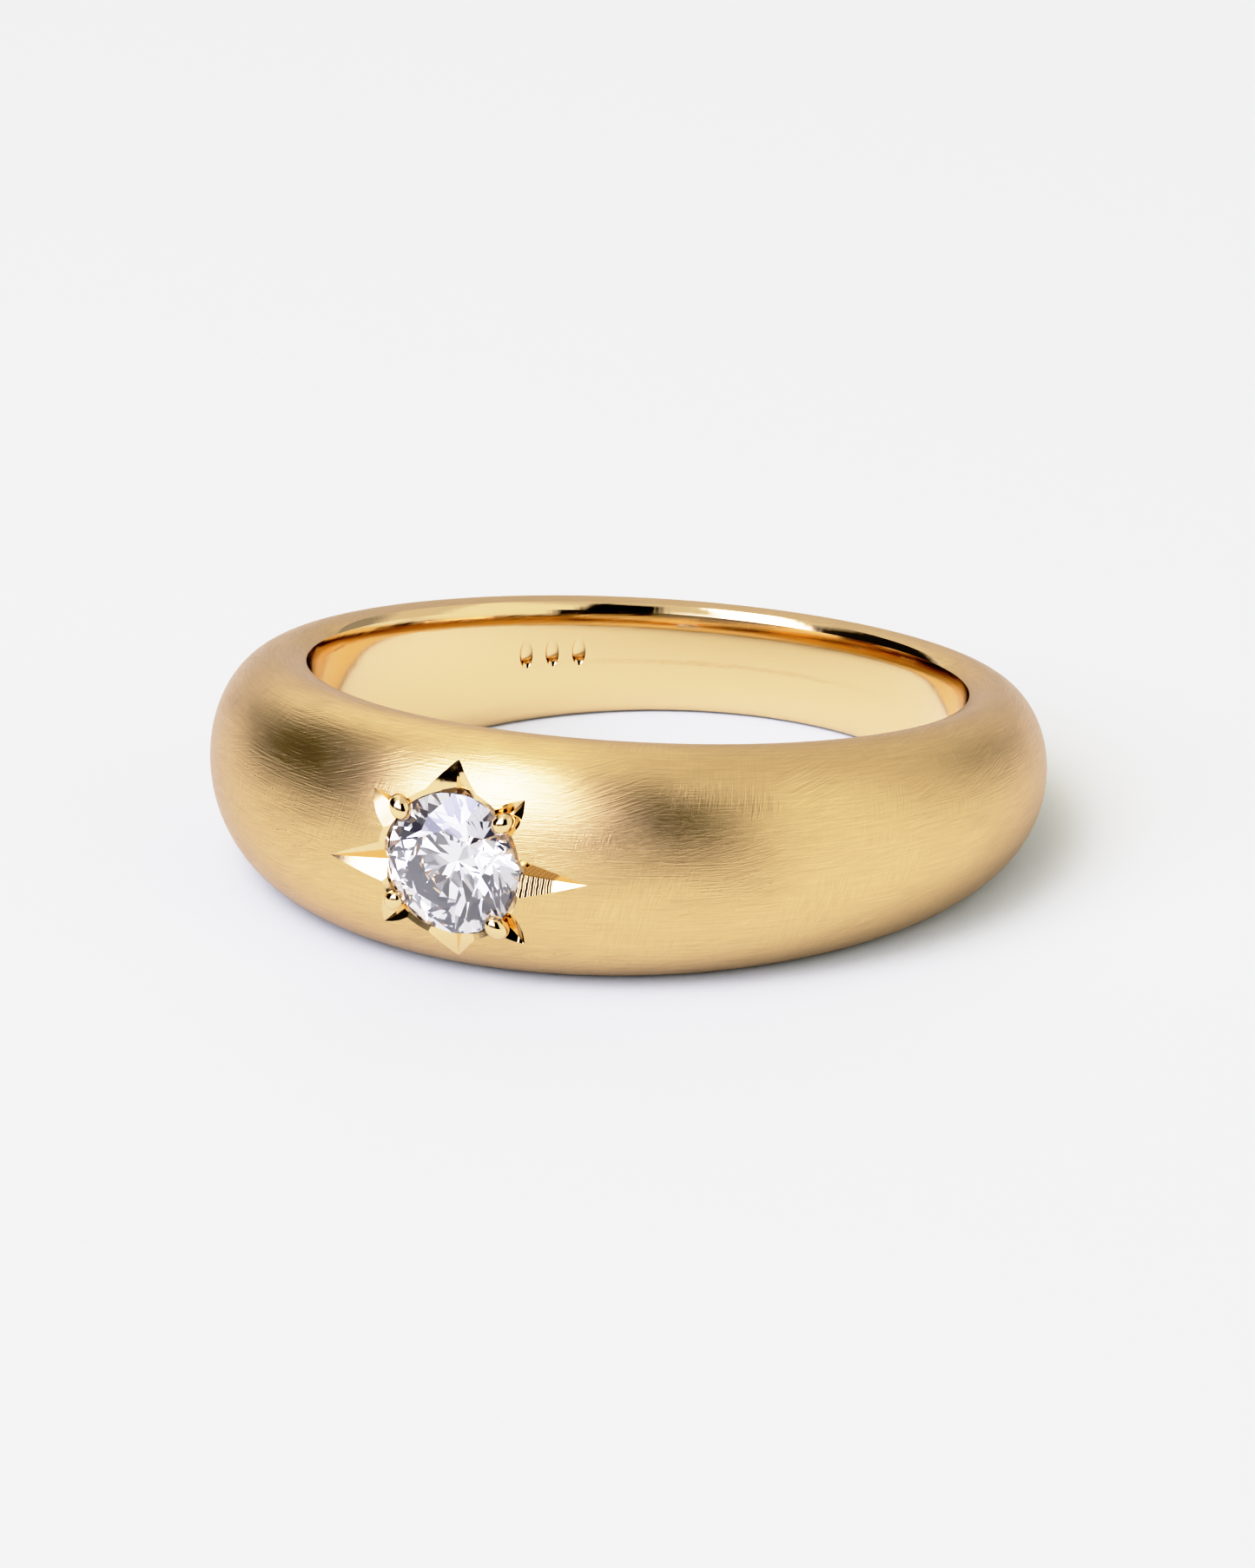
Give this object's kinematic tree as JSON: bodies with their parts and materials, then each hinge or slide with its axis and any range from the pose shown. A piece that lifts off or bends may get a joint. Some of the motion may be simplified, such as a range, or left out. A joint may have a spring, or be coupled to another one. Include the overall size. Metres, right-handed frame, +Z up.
{
  "type": "flush set gypsy ring",
  "caption": "Tapered domed gold finger ring with a round brilliant set flush in an engraved star, lying on its side.",
  "frame": {"origin": "on the surface that the ring lies on, under the middle of its box", "axes": "+Z up, square to the surface and within 5 degrees of the finger hole's axis; the stone faces -Y and the narrow back of the band is towards +Y"},
  "size_m": [0.0216, 0.0211, 0.0059],
  "materials": {
    "gold": "yellow gold of 18 carat: satin brushed outside, mirror polished inside, along the inner edges and in the engraved cuts",
    "diamond": "clear, polished facets"
  },
  "bodies": {
    "root": {"band": "gold", "stone": "diamond"}
  },
  "joints": []
}
